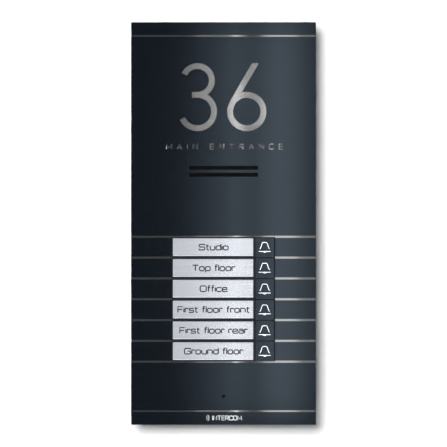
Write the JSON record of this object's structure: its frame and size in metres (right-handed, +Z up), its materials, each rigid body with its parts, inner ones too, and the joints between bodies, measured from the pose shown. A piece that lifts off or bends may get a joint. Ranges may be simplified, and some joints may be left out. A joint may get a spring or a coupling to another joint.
{
  "type": "door intercom panel",
  "caption": "Wall-mounted door intercom with engraved steel front plate, speaker slots, lit name plates, sprung bell buttons and a top-hinged front on a flat rear housing.",
  "frame": {"origin": "centre of the rear housing's back face, on the wall", "axes": "+Z up, the front faces -Y towards the visitor, +X to the visitor's right"},
  "size_m": [0.135, 0.028, 0.294],
  "materials": {
    "powder_coated_steel": "satin anthracite powder coat; grooves and numerals are bare brushed steel",
    "powder_coated_housing": "fine-textured anthracite powder coat",
    "steel": "brushed stainless",
    "spring_steel": "bright drawn wire",
    "zinc": "zinc plated",
    "black_plastic": "fine texture",
    "button_plastic": "satin, in the plate's colour",
    "name_insert": "silver, finely brushed, translucent",
    "white_diffuser": "opal, lit from behind",
    "clear_acrylic": "polished",
    "circuit_board": "solder mask",
    "terminal_plastic": "moulded",
    "black_rubber": "matt",
    "cone_paper": "pressed pulp",
    "cable_jacket": "grey ribbon"
  },
  "bodies": {
    "housing": {"rear_housing": "powder_coated_housing", "hinge_rod": "steel", "cable_grommet": "black_rubber"},
    "front": {"front_plate": "powder_coated_steel", "name_frame": "black_plastic", "name_plate_1": "name_insert", "name_plate_2": "name_insert", "name_plate_3": "name_insert", "name_plate_4": "name_insert", "name_plate_5": "name_insert", "name_plate_6": "name_insert", "light_guide": "clear_acrylic", "bell_board": "circuit_board", "tact_switch_1": "black_plastic", "tact_switch_2": "black_plastic", "tact_switch_3": "black_plastic", "tact_switch_4": "black_plastic", "tact_switch_5": "black_plastic", "tact_switch_6": "black_plastic", "module_nut_1": "zinc", "module_nut_2": "zinc", "module_nut_3": "zinc", "module_nut_4": "zinc", "sound_mesh": "black_plastic", "speaker_gasket": "black_rubber", "speaker_basket": "steel", "speaker_cone": "cone_paper", "speaker_magnet": "zinc", "speaker_lead": "black_rubber", "main_board": "circuit_board", "board_nut_1": "zinc", "board_nut_2": "zinc", "terminal_block": "terminal_plastic", "ribbon_cable": "cable_jacket", "microphone_boot": "black_rubber", "microphone_capsule": "zinc", "rim_gasket": "black_rubber", "hinge_bracket_left": "steel", "hinge_bracket_right": "steel", "lock_bracket": "steel", "lock_screw": "steel", "lock_nut": "zinc"},
    "button_1": {"bell_button_1": "button_plastic", "bell_lens_1": "white_diffuser", "return_spring_1": "spring_steel"},
    "button_2": {"bell_button_2": "button_plastic", "bell_lens_2": "white_diffuser", "return_spring_2": "spring_steel"},
    "button_3": {"bell_button_3": "button_plastic", "bell_lens_3": "white_diffuser", "return_spring_3": "spring_steel"},
    "button_4": {"bell_button_4": "button_plastic", "bell_lens_4": "white_diffuser", "return_spring_4": "spring_steel"},
    "button_5": {"bell_button_5": "button_plastic", "bell_lens_5": "white_diffuser", "return_spring_5": "spring_steel"},
    "button_6": {"bell_button_6": "button_plastic", "bell_lens_6": "white_diffuser", "return_spring_6": "spring_steel"}
  },
  "joints": [
    {"name": "front_swing", "type": "hinge", "parent": "housing", "child": "front", "pos_m": [0, -0.0224, 0.1444], "axis": [-1, 0, 0], "range_deg": [0, 80]},
    {"name": "button_1_press", "type": "slide", "parent": "front", "child": "button_1", "axis": [0, 1, 0], "range_m": [0, 0.0012], "stiffness_N_per_m": 300, "springref_m": -0.002, "deforming": ["return_spring_1"]},
    {"name": "button_2_press", "type": "slide", "parent": "front", "child": "button_2", "axis": [0, 1, 0], "range_m": [0, 0.0012], "stiffness_N_per_m": 300, "springref_m": -0.002, "deforming": ["return_spring_2"]},
    {"name": "button_3_press", "type": "slide", "parent": "front", "child": "button_3", "axis": [0, 1, 0], "range_m": [0, 0.0012], "stiffness_N_per_m": 300, "springref_m": -0.002, "deforming": ["return_spring_3"]},
    {"name": "button_4_press", "type": "slide", "parent": "front", "child": "button_4", "axis": [0, 1, 0], "range_m": [0, 0.0012], "stiffness_N_per_m": 300, "springref_m": -0.002, "deforming": ["return_spring_4"]},
    {"name": "button_5_press", "type": "slide", "parent": "front", "child": "button_5", "axis": [0, 1, 0], "range_m": [0, 0.0012], "stiffness_N_per_m": 300, "springref_m": -0.002, "deforming": ["return_spring_5"]},
    {"name": "button_6_press", "type": "slide", "parent": "front", "child": "button_6", "axis": [0, 1, 0], "range_m": [0, 0.0012], "stiffness_N_per_m": 300, "springref_m": -0.002, "deforming": ["return_spring_6"]}
  ]
}
